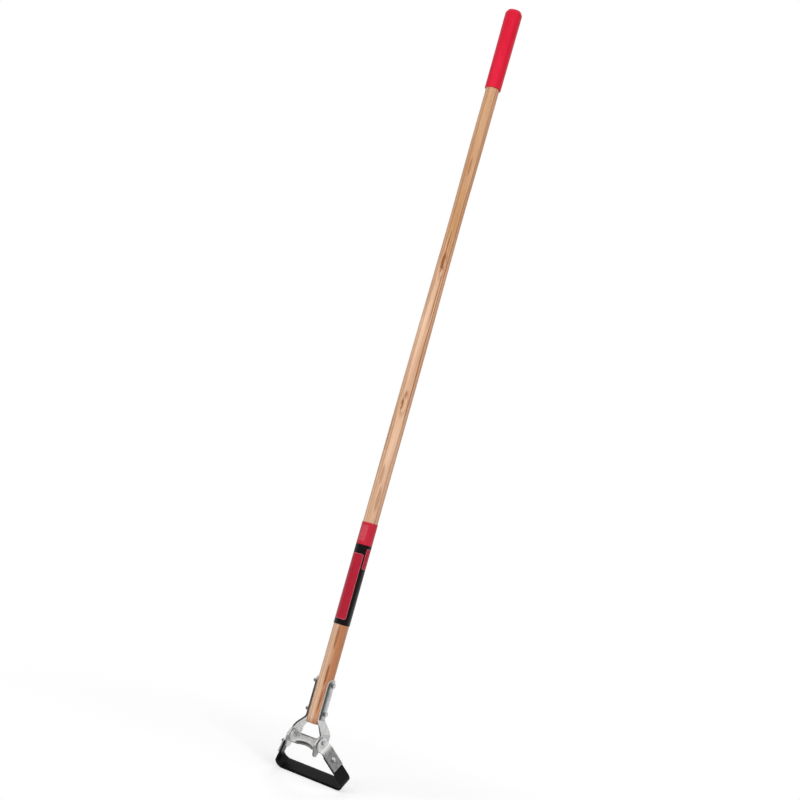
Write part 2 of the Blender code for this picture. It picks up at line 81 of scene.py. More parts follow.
HEARTWOOD_BACK = (125, 85)
HEART_LINE = (-23, 5.0)
RING_HEART = (0.034, -0.030)
RING_WIDTH = 0.0050

wood_low, wood_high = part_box("handle")
foot = Vector(((wood_low.x + wood_high.x) / 2, (wood_low.y + wood_high.y) / 2, wood_low.z))
handle_length = wood_high.z - wood_low.z


def linear(colour):
    """An 8-bit screen colour as the linear colour that a shader takes."""
    steps = [part / 255 for part in colour]
    return tuple(s / 12.92 if s < 0.04045 else ((s + 0.055) / 1.055) ** 2.4 for s in steps) + (1,)


class Flow:
    """One output in a node tree. Sums, products and the like on it add their Math nodes."""

    def __init__(self, tree, socket=None):
        self.tree = tree
        self.socket = socket

    def add(self, kind, sockets=(), out=0, **settings):
        """Add a node: its settings first, then the values or links of its sockets."""
        node = self.tree.nodes.new(kind)
        for key, value in settings.items():
            setattr(node, key, value)
        for place, value in dict(sockets).items():
            if isinstance(value, Flow):
                self.tree.links.new(value.socket, node.inputs[place])
            else:
                node.inputs[place].default_value = value
        return Flow(self.tree, node.outputs[out])

    def math(self, operation, *values):
        return self.add("ShaderNodeMath", enumerate((self, *values)), operation=operation)

    def __add__(self, other):
        return self.math("ADD", other)

    __radd__ = __add__

    def __sub__(self, other):
        return self.math("SUBTRACT", other)

    def __rsub__(self, other):
        return self.add("ShaderNodeMath", {0: other, 1: self}, operation="SUBTRACT")

    def __mul__(self, other):
        return self.math("MULTIPLY", other)

    __rmul__ = __mul__

    def __truediv__(self, other):
        return self.math("DIVIDE", other)

    def __pow__(self, other):
        return self.math("POWER", other)

    def __mod__(self, other):
        return self.math("FLOORED_MODULO", other)

    def fade(self, start, end, low=0.0, high=1.0):
        """Smoothly from low to high as the value goes from start to end."""
        return self.add("ShaderNodeMapRange", {0: self, 1: start, 2: end, 3: low, 4: high},
                        interpolation_type="SMOOTHSTEP")

    def split(self):
        parts = self.add("ShaderNodeSeparateXYZ", {0: self}).socket.node.outputs
        return [Flow(self.tree, part) for part in parts]

    def place(self, origin=Vector()):
        """A surface point's x, y and z, counted from an origin."""
        spot = self.add("ShaderNodeTexCoord", out="Object")
        return self.add("ShaderNodeMapping", {0: spot, "Location": -origin}).split()

    def vector(self, x, y, z):
        return self.add("ShaderNodeCombineXYZ", {0: x, 1: y, 2: z})

    def cloud(self, x, y, z, detail=2.0, rough=0.5):
        """Noise from 0 to 1 whose grain is set by how far each coordinate is stretched."""
        return self.add("ShaderNodeTexNoise", {"Vector": self.vector(x, y, z), "Scale": 1.0,
                                               "Detail": detail, "Roughness": rough})

    def blend(self, first, second):
        """Mix two colours by this value."""
        return self.add("ShaderNodeMix", {0: self, 6: first, 7: second}, out=2,
                        data_type="RGBA", clamp_factor=True)


def finish(name, **constants):
    """A material with its Principled shader and a Flow that starts its tree."""
    made = bpy.data.materials.new(name)
    made.use_nodes = True
    shader = made.node_tree.nodes["Principled BSDF"]
    for socket, value in constants.items():
        shader.inputs[socket.replace("_", " ")].default_value = value
    return made, shader, Flow(made.node_tree)


def feed(shader, flow, **sockets):
    for socket, value in sockets.items():
        flow.tree.links.new(value.socket, shader.inputs[socket.replace("_", " ")])


def relief(flow, height, depth):
    """A surface normal from a height of 0 to 1 that stands depth metres tall."""
    return flow.add("ShaderNodeBump", {"Strength": 1.0, "Distance": depth, "Height": height},
                    out="Normal")


def turning_tree():
    """Geometry nodes that turn a profile round Z and set copies of it in a row on a carrier.

    A profile point holds its radius in X and its height in Z. Y is 1 where a hexagon cuts the
    round, and -1 where a thread does.
    """
    tree = bpy.data.node_groups.new("turned_piece", "GeometryNodeTree")
    inlets = (("Profile", "Geometry", None), ("Sides", "Int", 48),
              ("Across Flats", "Float", 0.008), ("Thread Pitch", "Float", 0.001),
              ("Thread Depth", "Float", 0.0005), ("Count", "Int", 1), ("Start", "Vector", None),
              ("Step", "Vector", None), ("Turn", "Vector", None), ("Turn Step", "Vector", None),
              ("Carrier Place", "Vector", None), ("Carrier Turn", "Vector", None),
              ("Finish", "Material", None))
    for label, kind, value in inlets:
        inlet = tree.interface.new_socket(label, in_out="INPUT", socket_type="NodeSocket" + kind)
        if value is not None:
            inlet.default_value = value
    tree.interface.new_socket("Piece", in_out="OUTPUT", socket_type="NodeSocketGeometry")
    given = tree.nodes.new("NodeGroupInput").outputs
    start = Flow(tree)

    def value(label):
        return Flow(tree, given[label])

    rows = start.add("GeometryNodeAttributeDomainSize", {0: value("Profile")}, out="Point Count")
    sheet = start.add("GeometryNodeMeshGrid", {"Vertices X": value("Sides") + 1,
                                               "Vertices Y": rows}, out="Mesh")
    index = start.add("GeometryNodeInputIndex")
    column = ((index + 0.5) / rows).math("FLOOR")
    point = start.add("GeometryNodeSampleIndex", {
        "Geometry": value("Profile"), "Index": index - column * rows,
        "Value": start.add("GeometryNodeInputPosition")}, data_type="FLOAT_VECTOR")
    radius, mark, height = point.split()
    angle = column / value("Sides") * math.tau
    wedge = angle % (math.pi / 3) - math.pi / 6
    hexagon = radius.math("MINIMUM", value("Across Flats") / wedge.math("COSINE") / 2)
    ridge = ((height / value("Thread Pitch") - angle / math.tau) % 1.0 - 0.5).math("ABSOLUTE")
    shaped = (radius + (hexagon - radius) * mark.math("MAXIMUM", 0.0)
              + ridge * 2 * value("Thread Depth") * mark.math("MINIMUM", 0.0))
    placed = start.vector(shaped * angle.math("COSINE"), shaped * angle.math("SINE"), height)
    body = start.add("GeometryNodeSetPosition", {"Geometry": sheet, "Position": placed})
    body = start.add("GeometryNodeMergeByDistance", {"Geometry": body, "Distance": 2e-6})

    def in_row(first, step):
        scaled = start.add("ShaderNodeVectorMath", {0: value(step), "Scale": index},
                           operation="SCALE")
        return start.add("ShaderNodeVectorMath", {0: value(first), 1: scaled}, operation="ADD")

    places = start.add("GeometryNodePoints", {"Count": value("Count"),
                                              "Position": in_row("Start", "Step")})
    turns = start.add("FunctionNodeEulerToRotation", {0: in_row("Turn", "Turn Step")})
    copies = start.add("GeometryNodeInstanceOnPoints", {"Points": places, "Instance": body,
                                                        "Rotation": turns})
    real = start.add("GeometryNodeRealizeInstances", {0: copies})
    carried = start.add("GeometryNodeTransform", {
        "Geometry": real, "Translation": value("Carrier Place"),
        "Rotation": start.add("FunctionNodeEulerToRotation", {0: value("Carrier Turn")})})
    dressed = start.add("GeometryNodeSetMaterial", {"Geometry": carried,
                                                    "Material": value("Finish")})
    tree.links.new(dressed.socket, tree.nodes.new("NodeGroupOutput").inputs[0])
    return tree


turned_piece = turning_tree()


def plain(piece):
    """Swap the piece's mesh for its evaluated one and drop the modifiers that shaped it."""
    bpy.context.view_layer.update()
    graph = bpy.context.evaluated_depsgraph_get()
    piece.data = bpy.data.meshes.new_from_object(piece.evaluated_get(graph))
    piece.modifiers.clear()
    return piece


def smoothed(piece, degrees):
    piece.data.shade_smooth()
    piece.data.set_sharp_from_angle(angle=math.radians(degrees))
    return piece


def shown(name, mesh):
    piece = bpy.data.objects.new(name, mesh)
    bpy.context.scene.collection.objects.link(piece)
    return piece


def turned(name, profile, look, degrees=32, **inlets):
    """Turn a profile of (radius, height) or (radius, mark, height) points into a plain mesh."""
    points = [(p[0], p[1] if len(p) == 3 else 0.0, p[-1]) for p in profile]
    mesh = bpy.data.meshes.new(name)
    mesh.from_pydata(points, [], [])
    piece = shown(name, mesh)
    lathe = piece.modifiers.new("turn", "NODES")
    lathe.node_group = turned_piece
    wanted = {key.replace("_", " "): value for key, value in inlets.items()}
    for item in turned_piece.interface.items_tree:
        if item.name in wanted:
            lathe[item.identifier] = wanted[item.name]
        elif item.name == "Finish":
            lathe[item.identifier] = look
    return smoothed(plain(piece), degrees)


def as_mesh(name, shape):
    """Turn a finished bmesh into a mesh and free it."""
    mesh = bpy.data.meshes.new(name)
    shape.to_mesh(mesh)
    shape.free()
    return mesh


def hole_maker(name, radius, length, place, along):
    """A round cutter whose middle is at place and whose length runs along a direction."""
    shape = bmesh.new()
    turn = Vector((0, 0, 1)).rotation_difference(along).to_matrix().to_4x4()
    bmesh.ops.create_cone(shape, cap_ends=True, segments=32, radius1=radius, radius2=radius,
                          depth=length, matrix=Matrix.Translation(place) @ turn)
    return shown(name, as_mesh(name, shape))


def drilled(piece, drills):
    for drill in drills:
        step = piece.modifiers.new("drill", "BOOLEAN")
        step.operation, step.solver, step.object = "DIFFERENCE", "EXACT", drill
    return plain(piece)


def smooth(value):
    value = min(1.0, max(0.0, value))
    return value * value * (3.0 - 2.0 * value)


def quarter(step, steps):
    """The angle of a step on the way through a quarter turn."""
    return math.pi / 2 * step / steps


def handle_radius(height):
    if height <= HANDLE_STATIONS[0][0]:
        return HANDLE_STATIONS[0][1]
    for (low, low_radius), (high, high_radius) in zip(HANDLE_STATIONS, HANDLE_STATIONS[1:]):
        if height <= high:
            return low_radius + (high_radius - low_radius) * smooth((height - low) / (high - low))
    return HANDLE_STATIONS[-1][1]


def ash_look():
    look, shader, flow = finish("ash_lacquered", Coat_Weight=0.18, Coat_Roughness=0.25,
                                Specular_IOR_Level=0.35)
    x, y, z = flow.place(foot)
    azimuth = y.math("ARCTAN2", x) * math.degrees(1)
    wander = flow.cloud(x * 14, y * 14, z * 2.6, 2.0) - 0.5
    ripple = flow.cloud(x * 60, y * 60, z * 16, 2.0) - 0.5

    def oval(height, place, half_length, half_width):
        """Squared distance from a place on the stick, 1 at the edge of the oval round it."""
        return ((z - height) / half_length) ** 2 + ((azimuth - place) / half_width) ** 2

    # Small knots: a dark rim, a paler heart, and grain that bends round them.
    rims = sum(oval(height, place, *KNOT_RIM).fade(1.3, 0.5)
               * oval(height - KNOT_HEART_SHIFT[0], place - KNOT_HEART_SHIFT[1],
                      *KNOT_HEART).fade(0.4, 1.2) for height, place in KNOTS)
    bends = sum(oval(height, place, *KNOT_BEND).fade(1.0, 0.0) for height, place in KNOTS)
    marks = sum(oval(height, place, half_length, half_width).fade(1.0, 0.3) * depth
                for height, half_length, place, half_width, depth in STREAKS)
    # Growth rings of a log whose heart lies well outside the stick.
    heart = ((x + RING_HEART[0] + wander * 0.014) ** 2
             + (y + RING_HEART[1] + wander * 0.006) ** 2).math("SQRT")
    rings = (heart + bends * 0.0026) / RING_WIDTH + ripple * 0.24
    through = rings % 1.0
    season = flow.add("ShaderNodeTexWhiteNoise", {"W": rings.math("FLOOR")}, noise_dimensions="1D")
    late = through.fade(0.50, 0.93) * through.fade(1.0, 0.955) * (season * 0.75 + 0.3)
    fibre = flow.cloud(x * 1300, y * 1300, z * 18, 3.0)
    streak = flow.cloud(x * 420, y * 420, z * 5, 2.0)
    tint = flow.cloud(x * 90, y * 90, z * 3.5, 2.0)
    pores = flow.cloud(x * 2600, y * 2600, z * 90, 1.0).fade(0.66, 0.74) * through.fade(0.45, 0.1)
    # Brown heartwood runs up the right side, behind one dark line, and spreads towards the foot.
    drift = (flow.cloud(0.0, 0.0, z * 5, 1.0) - 0.5) * 40
    side = azimuth + drift
    behind = azimuth.fade(*HEARTWOOD_BACK)
    heartwood = side.fade(*HEARTWOOD_FRONT) * behind
    spread = azimuth.fade(-74, -50) * behind * z.fade(0.26, 0.17)
    line = (((side - HEART_LINE[0]) / HEART_LINE[1]) ** 2).fade(1.0, 0.1)
    line = line * (streak * 0.7 + 0.30) * z.fade(0.16, 0.26)
    gold = tint.fade(0.30, 0.72) * 0.50 + z.fade(0.76, 0.95) * 0.50
    base = gold.blend(linear(ASH_PALE), linear(ASH_GOLD))
    base = (heartwood * 0.45).math("MAXIMUM", spread * 0.85).blend(base, linear(ASH_HEART))
    dark = (late * 0.50 + streak.fade(0.46, 0.74) * 0.26 + fibre.fade(0.45, 0.8) * 0.12
            + pores * 0.25 + rims * 0.62 + marks + line)
    # Darker towards the foot end, over its last 12 mm.
    foot_darkening = z.fade(0.012, 0.0) * 0.40
    base = (dark + foot_darkening).math("MINIMUM", 0.94).blend(base, linear(ASH_BROWN))
    rough = fibre * 0.10 + pores * 0.2 + 0.42
    grain = relief(flow, fibre * 0.5 + late * 0.35 + pores.math("MULTIPLY", -0.8), 0.00003)
    feed(shader, flow, Base_Color=base, Roughness=rough, Normal=grain)
    return look


ash = ash_look()
falling = [handle_length * (1 - ring / HANDLE_RINGS) for ring in range(HANDLE_RINGS)]
profile = [(0.0, handle_length), (HANDLE_STATIONS[-1][1] - HANDLE_TOP_CHAMFER, handle_length)]
profile += [(handle_radius(height), height) for height in falling
            if height < handle_length - HANDLE_TOP_CHAMFER]
profile += [(HANDLE_STATIONS[0][1], FOOT_CHAMFER),
            (HANDLE_STATIONS[0][1] - FOOT_CHAMFER * 0.3, FOOT_CHAMFER * 0.3),
            (HANDLE_STATIONS[0][1] - FOOT_CHAMFER, 0.0), (0.0, 0.0)]
stick = turned("ash_handle", profile, ash, Sides=HANDLE_SIDES, Carrier_Place=foot)
drills = [hole_maker("stick_drill", BOLT_HOLE_RADIUS, BOLT_DRILL_LENGTH,
                     foot + Vector((0, 0, height)), Vector((1, 0, 0)))
          for height in BOLT_HEIGHTS]
smoothed(drilled(stick, drills), 32)
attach(stick, "handle_and_yoke")
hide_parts("handle")

# Grip: a soft vinyl sleeve with a closed, domed end, dip-moulded in red and pushed over the top
# of the stick, where its own stretch holds it.
GRIP_COVER = 0.1585
GRIP_SEAT = 0.0003
GRIP_TOP_WALL = 0.0031
GRIP_MOUTH_WALL = 0.0022
GRIP_END_WALL = 0.0032
GRIP_DOME = 0.0105
GRIP_DOME_STEPS = 20
GRIP_SIDE_STEPS = 30
GRIP_MOUTH_ROUND = 0.0008
GRIP_MOUTH_STEPS = 4
VINYL_RED = (228, 32, 62)
VINYL_DEEP = (215, 22, 52)


def vinyl_look():
    look, shader, flow = finish("red_vinyl", Specular_IOR_Level=0.2)
    x, y, z = flow.place()
    tone = flow.cloud(x * 70, y * 70, z * 12, 3.0)
    skin = flow.cloud(x * 2400, y * 2400, z * 1600, 2.0)
    rubs = flow.cloud(x * 300, y * 300, z * 40, 3.0).fade(0.58, 0.72)
    base = tone.fade(0.3, 0.75).blend(linear(VINYL_RED), linear(VINYL_DEEP))
    rough = skin * 0.08 + rubs * 0.08 + 0.42
    feed(shader, flow, Base_Color=base, Roughness=rough, Normal=relief(flow, skin, 0.00002))
    return look


mouth = handle_length - GRIP_COVER
bore = handle_radius(handle_length) + GRIP_SEAT
mouth_radius = handle_radius(mouth) + GRIP_SEAT
crest = handle_length + GRIP_SEAT + GRIP_END_WALL
top_outside = bore + GRIP_TOP_WALL
mouth_outside = mouth_radius + GRIP_MOUTH_WALL
profile = []
for step in range(GRIP_DOME_STEPS + 1):
    turn = quarter(step, GRIP_DOME_STEPS)
    profile.append((top_outside * math.sin(turn), crest - GRIP_DOME * (1 - math.cos(turn))))
shoulder_height = profile[-1][1]
for step in range(1, GRIP_SIDE_STEPS):
    share = step / GRIP_SIDE_STEPS
    profile.append((top_outside + (mouth_outside - top_outside) * share,
                    shoulder_height + (mouth + GRIP_MOUTH_ROUND - shoulder_height) * share))
for step in range(GRIP_MOUTH_STEPS + 1):
    turn = quarter(step, GRIP_MOUTH_STEPS)
    profile.append((mouth_outside - GRIP_MOUTH_ROUND * (1 - math.cos(turn)),
                    mouth + GRIP_MOUTH_ROUND * (1 - math.sin(turn))))
profile += [(mouth_radius, mouth), (bore, handle_length + GRIP_SEAT),
            (0.0, handle_length + GRIP_SEAT)]
grip = turned("vinyl_grip", profile, vinyl_look(), Sides=HANDLE_SIDES, Carrier_Place=foot)
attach(grip, "handle_and_yoke")
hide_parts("grip")

# Sleeve: a tube of printed film, shrunk on the stick above the yoke. It is printed black, with a
# red band and fine lines at its top, a long red panel in front and a short one beside it.
SLEEVE_BOTTOM = 0.1785
SLEEVE_LENGTH = 0.187
SLEEVE_WALL = 0.0005
SLEEVE_RINGS = 40
SLEEVE_END = 0.008
BAND_BOTTOM = 0.3250
FRONT_PANEL = (math.radians(-87), math.radians(46), 0.1885, 0.3080)
SIDE_PANEL = (math.radians(8), math.radians(36), 0.2820, 0.3190)
PANEL_CORNER = 0.0022
FILM_RED = (205, 40, 62)
FILM_BLACK = (26, 20, 22)
PANEL_RED = (184, 30, 54)
PANEL_BORDER = (224, 120, 130)
FILM_SPECK_AND_SHEEN = (80, 52, 54)
PANEL_BORDER_WIDTH = 0.0006
PRINT_EDGE = 0.00015
FINE_LINE_SPACING = 0.0021
FINE_LINES = (math.radians(-93), math.radians(30), 0.331, 0.360)


def film_look():
    look, shader, flow = finish("printed_film", Coat_Weight=0.15, Coat_Roughness=0.15,
                                Specular_IOR_Level=0.3)
    x, y, z = flow.place(foot)
    azimuth = y.math("ARCTAN2", x)
    radius = HANDLE_STATIONS[0][1]

    def panel(middle, half_angle, low, high, inset=0.0):
        """1 inside a rectangle with rounded corners, laid round the sleeve."""
        corner = PANEL_CORNER - inset
        across = ((azimuth - middle) * radius).math("ABSOLUTE") - (half_angle * radius
                                                                   - PANEL_CORNER)
        along = (z - (low + high) / 2).math("ABSOLUTE") - ((high - low) / 2 - PANEL_CORNER)
        across, along = across.math("MAXIMUM", 0.0), along.math("MAXIMUM", 0.0)
        beyond = (across ** 2 + along ** 2).math("SQRT")
        return beyond.fade(corner + PRINT_EDGE, corner - PRINT_EDGE)

    band = z.fade(BAND_BOTTOM - PRINT_EDGE, BAND_BOTTOM + PRINT_EDGE)
    fronts = panel(*FRONT_PANEL).math("MAXIMUM", panel(*SIDE_PANEL))
    insides = panel(*FRONT_PANEL, inset=PANEL_BORDER_WIDTH).math(
        "MAXIMUM", panel(*SIDE_PANEL, inset=PANEL_BORDER_WIDTH))
    across = (azimuth - FINE_LINES[0]) * (radius / FINE_LINE_SPACING)
    lines = (across % 1.0 - 0.5).math("ABSOLUTE").fade(0.22, 0.14) * panel(*FINE_LINES)
    ink = flow.cloud(x * 900, y * 900, z * 900, 2.0)
    wave = flow.cloud(x * 240, y * 240, z * 60, 2.0)
    sleeve_top = SLEEVE_BOTTOM + SLEEVE_LENGTH
    ends = z.fade(SLEEVE_BOTTOM + SLEEVE_END, SLEEVE_BOTTOM) + z.fade(
        sleeve_top - SLEEVE_END, sleeve_top)
    base = band.blend(linear(FILM_BLACK), linear(FILM_RED))
    base = fronts.blend(base, linear(PANEL_BORDER))
    base = insides.blend(base, linear(PANEL_RED))
    base = (lines * 0.8).blend(base, linear(PANEL_BORDER))
    # Ink mottle with painted sheen: faint pale flecks, spread by the ink noise, lighten the film.
    base = (ink.fade(0.45, 0.8) * 0.10).blend(base, linear(FILM_SPECK_AND_SHEEN))
    rough = ink * 0.10 + ends * 0.08 + 0.26
    feed(shader, flow, Base_Color=base, Roughness=rough,
         Normal=relief(flow, wave * (ends * 0.8 + 0.25), 0.00015))
    return look


top = SLEEVE_BOTTOM + SLEEVE_LENGTH
rings = [top - SLEEVE_LENGTH * step / SLEEVE_RINGS for step in range(SLEEVE_RINGS + 1)]
profile = [(handle_radius(height) + GRIP_SEAT + SLEEVE_WALL, height) for height in rings]
profile += [(handle_radius(height) + GRIP_SEAT, height) for height in reversed(rings)]
profile.append(profile[0])
film = turned("label_film", profile, film_look(), Sides=HANDLE_SIDES, Carrier_Place=foot)
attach(film, "handle_and_yoke")
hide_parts("label_sleeve")

# Yoke: two straps cut from 3 mm steel, pressed to a channel that hugs the foot of the stick and
# bent out below it into flat legs, each ending in a tip that hangs forward. Zinc plated, with
# painted light on the tips and a painted highlight along the front edge of the right strap.
YOKE_WALL = 0.003
YOKE_NECK_WIDTH = 0.022
YOKE_WIDTH = 0.0305
YOKE_TOP = 0.0814
YOKE_TOP_ROUND = 0.010
SPLAY_START = 0.0085
SPLAY_DEPTH = 0.0136
LEG_MIDDLE = 0.02975
LEG_TIP_RADIUS = 0.007
LEG_TIP_FORWARD = 0.0162
LEG_TIP_DROP = 0.0445
LEG_FRONT_SWELL = 0.0062
LEG_REAR_STRAIGHT = 0.33
YOKE_TOP_STEPS = 14
LEG_TIP_STEPS = 12
YOKE_COLUMNS = 24
SPLAY_BEND_RADIUS = 0.006
LEG_BEND_RADIUS = 0.0035
PIVOT_HOLE_RADIUS = 0.0033
PIVOT_DRILL_LENGTH = 0.08
ZINC_LIGHT = (216, 216, 215)
ZINC_DULL = (184, 184, 183)
ZINC_PAINTED_LIGHT = (238, 238, 237)
ZINC_MATT = 0.45
EDGE_HIGHLIGHT_WIDTH = (0.0020, 0.0008)
PAINTED_TIP_LIGHT = (-0.022, -0.034)
PAINTED_TIP_LIGHT_SHARE = 0.4
YOKE_CROWN = HANDLE_STATIONS[0][1] + GRIP_SEAT + YOKE_WALL / 2

pivot = Vector(frame["joints"][0]["pos_m"])


def zinc_look(name, light, dull, rough_low, metallic=1.0):
    """Bright zinc over pressed steel: cloudy, with rolling lines and small rubs."""
    look, shader, flow = finish(name, Metallic=metallic)
    x, y, z = flow.place()
    cloudy = flow.cloud(x * 150, y * 150, z * 150, 4.0, 0.6)
    speck = flow.cloud(x * 1100, y * 1100, z * 1100, 2.0)
    rolled = flow.cloud(x * 1800, y * 1800, z * 60, 2.0)
    rubs = flow.cloud(x * 90, y * 700, z * 420, 3.0).fade(0.62, 0.72)
    base = (cloudy.fade(0.35, 0.75) * 0.8 + speck * 0.2).blend(linear(light), linear(dull))
    rough = cloudy * 0.16 + speck * 0.06 + rubs * 0.12 + rough_low
    feed(shader, flow, Base_Color=base, Roughness=rough,
         Normal=relief(flow, speck * 0.5 + rolled * 0.3 + rubs * 0.4, 0.00002))
    return look


def toned(look, flow, share, colour, metallic):
    """Blend the look's base colour towards another by a share, and set how metallic it is."""
    shader = look.node_tree.nodes["Principled BSDF"]
    base = Flow(flow.tree, shader.inputs["Base Color"].links[0].from_socket)
    feed(shader, flow, Base_Color=share.blend(base, linear(colour)), Metallic=metallic)


def strap_look():
    """Zinc with a painted highlight up the right channel's front edge and painted light on the
    tips.
    """
    look = zinc_look("zinc_plate", ZINC_LIGHT, ZINC_DULL, 0.24)
    flow = Flow(look.node_tree)
    x, y, z = flow.place(foot)
    from_top = ((YOKE_TOP - z) / YOKE_TOP_ROUND).math("MINIMUM", 1.0).math("MAXIMUM", 0.0)
    half = (1 - (1 - from_top) ** 2).math("SQRT") * (YOKE_NECK_WIDTH / 2)
    around = y.math("ARCTAN2", x.math("ABSOLUTE")) * YOKE_CROWN
    on_channel = z.fade(0.002, SPLAY_START) * x.fade(0, 0.001)
    # Painted highlight along the right channel's front edge and painted light on the tips: both
    # paler and less metallic.
    edge = (around + half).fade(*EDGE_HIGHLIGHT_WIDTH) * on_channel
    painted_light = edge.math("MAXIMUM", z.fade(*PAINTED_TIP_LIGHT) * PAINTED_TIP_LIGHT_SHARE)
    toned(look, flow, painted_light, ZINC_PAINTED_LIGHT, 1 - painted_light * (1 - ZINC_MATT))
    return look


zinc = strap_look()


def corner_arc(before, corner, after, radius, steps):
    """Points of a fillet of the given radius that rounds a corner of a path."""
    back = (before - corner).normalized()
    ahead = (after - corner).normalized()
    half = back.angle(ahead) / 2
    reach = radius / math.tan(half)
    centre = corner + (back + ahead).normalized() * (radius / math.sin(half))
    start = corner + back * reach - centre
    sweep = start.angle_signed(corner + ahead * reach - centre)
    points = []
    for index in range(steps + 1):
        turn = -sweep * index / steps
        points.append(centre + Vector((start.x * math.cos(turn) - start.y * math.sin(turn),
                                       start.x * math.sin(turn) + start.y * math.cos(turn))))
    return points


def rounded_path(corners, radii, steps, spacing):
    """A path through 2D corners, filleted at the inner ones, with its straights divided."""
    path = [corners[0]]
    for index, radius in enumerate(radii, start=1):
        path += corner_arc(corners[index - 1], corners[index], corners[index + 1], radius, steps)
    path.append(corners[-1])
    dense = [path[0]]
    for first, second in zip(path, path[1:]):
        parts = max(1, round((second - first).length / spacing))
        dense += [first.lerp(second, part / parts) for part in range(1, parts + 1)]
    return dense


def pressed(name, rows, wall, look, carrier, drills=(), edge=0.0004):
    """A pressed plate: rows of points on its middle surface, given a wall and rounded edges."""
    shape = bmesh.new()
    grid = [[shape.verts.new(point) for point in row] for row in rows]
    for low, high in zip(grid, grid[1:]):
        for a, b, c, d in zip(low, low[1:], high[1:], high):
            shape.faces.new((a, b, c, d))
    bmesh.ops.recalc_face_normals(shape, faces=shape.faces)
    mesh = as_mesh(name, shape)
    mesh.materials.append(look)
    mesh.transform(carrier)
    piece = shown(name, mesh)
    thick = piece.modifiers.new("wall", "SOLIDIFY")
    thick.thickness, thick.offset, thick.use_even_offset = wall, 0.0, True
    rim = piece.modifiers.new("rim", "BEVEL")
    rim.width, rim.segments, rim.limit_method, rim.angle_limit = edge, 3, "ANGLE", math.radians(50)
    plain(piece)
    if drills:
        drilled(piece, drills)
    return smoothed(piece, 30)


def strap_rows(side):
    """The strap's middle surface, row by row from its top end to the tip of its leg."""
    corners = [Vector((YOKE_CROWN, YOKE_TOP)), Vector((YOKE_CROWN, SPLAY_START)),
               Vector((LEG_MIDDLE, -SPLAY_DEPTH)), Vector((LEG_MIDDLE, -LEG_TIP_DROP))]
    bent = rounded_path(corners, (SPLAY_BEND_RADIUS, LEG_BEND_RADIUS), 8, 0.004)
    ramp = [YOKE_TOP_ROUND * (1 - math.cos(quarter(step, YOKE_TOP_STEPS)))
            for step in range(YOKE_TOP_STEPS)]
    path = [Vector((YOKE_CROWN, YOKE_TOP - drop)) for drop in ramp]
    path += [point for point in bent if point.y <= YOKE_TOP - YOKE_TOP_ROUND]
    path += [Vector((LEG_MIDDLE, -LEG_TIP_DROP
                     - LEG_TIP_RADIUS * math.sin(quarter(step, LEG_TIP_STEPS))))
             for step in range(1, LEG_TIP_STEPS + 1)]
    rows = []
    for point in path:
        widening = smooth((SPLAY_START + YOKE_WALL - point.y) / (SPLAY_START + SPLAY_DEPTH))
        half = (YOKE_NECK_WIDTH + (YOKE_WIDTH - YOKE_NECK_WIDTH) * widening) / 2
        from_top = YOKE_TOP - point.y
        if from_top < YOKE_TOP_ROUND:
            half *= math.sqrt(max(0.03, 1 - (1 - from_top / YOKE_TOP_ROUND) ** 2))
        front, rear = -half, half
        share = (-SPLAY_DEPTH - point.y) / (LEG_TIP_DROP - SPLAY_DEPTH)
        if share > 0:
            share = min(1.0, share)
            front = -half + (half - LEG_TIP_FORWARD - LEG_TIP_RADIUS) * share
            front -= LEG_FRONT_SWELL * math.sin(math.pi * share ** 1.36) ** 2
            rear = half + (LEG_TIP_RADIUS - LEG_TIP_FORWARD - half) * smooth(
                (share - LEG_REAR_STRAIGHT) / (1 - LEG_REAR_STRAIGHT))
        if point.y < -LEG_TIP_DROP:
            below = -LEG_TIP_DROP - point.y
            bulge = math.sqrt(max(0.02 * LEG_TIP_RADIUS ** 2, LEG_TIP_RADIUS ** 2 - below ** 2))
            front, rear = -LEG_TIP_FORWARD - bulge, -LEG_TIP_FORWARD + bulge
        hug = smooth((point.y + SPLAY_DEPTH * 0.6) / (SPLAY_START + SPLAY_DEPTH * 1.1))
        bend = max(hug / YOKE_CROWN, 1e-4)
        row = []
        for column in range(YOKE_COLUMNS + 1):
            flat = front + (rear - front) * column / YOKE_COLUMNS
            row.append(Vector(((point.x - (1 - math.cos(bend * flat)) / bend) * side,
                               math.sin(bend * flat) / bend, point.y)))
        rows.append(row)
    return rows


at_foot = Matrix.Translation(foot)
leg_drill = hole_maker("leg_drill", PIVOT_HOLE_RADIUS, PIVOT_DRILL_LENGTH, pivot,
                       Vector((1, 0, 0)))
for side_name, side in (("left", -1), ("right", 1)):
    strap = pressed("zinc_strap_" + side_name, strap_rows(side), YOKE_WALL, zinc, at_foot,
                    [*drills, leg_drill])
    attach(strap, "handle_and_yoke")
    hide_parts("yoke_strap_" + side_name)

# Yoke bolts: two M5 hexagon bolts go through both straps and the stick, heads to the right and
# nuts to the left. Rolled threads, bright zinc.
BOLT_RADIUS = 0.0025
HEX_ACROSS_FLATS = 0.008
BOLT_HEAD_HEIGHT = 0.0035
NUT_HEIGHT = 0.0045
BOLT_STICKOUT = 0.0022
BOLT_PITCH = 0.0008
BOLT_THREAD_DEPTH = 0.0004
BOLT_THREAD_GAP = 0.001
THREAD_TIP = 0.22
HEX_FACE = 0.94
HEX_CROWN = 0.96
HEX_CONE = 0.55
HEX_STEPS = 6
FASTENER_SIDES = 48
BOLT_SEAT = YOKE_CROWN + YOKE_WALL / 2 + GRIP_SEAT
FASTENER_LIGHT = (230, 231, 232)
FASTENER_DULL = (190, 191, 193)

bright = zinc_look("zinc_fastener", FASTENER_LIGHT, FASTENER_DULL, 0.22, 0.80)


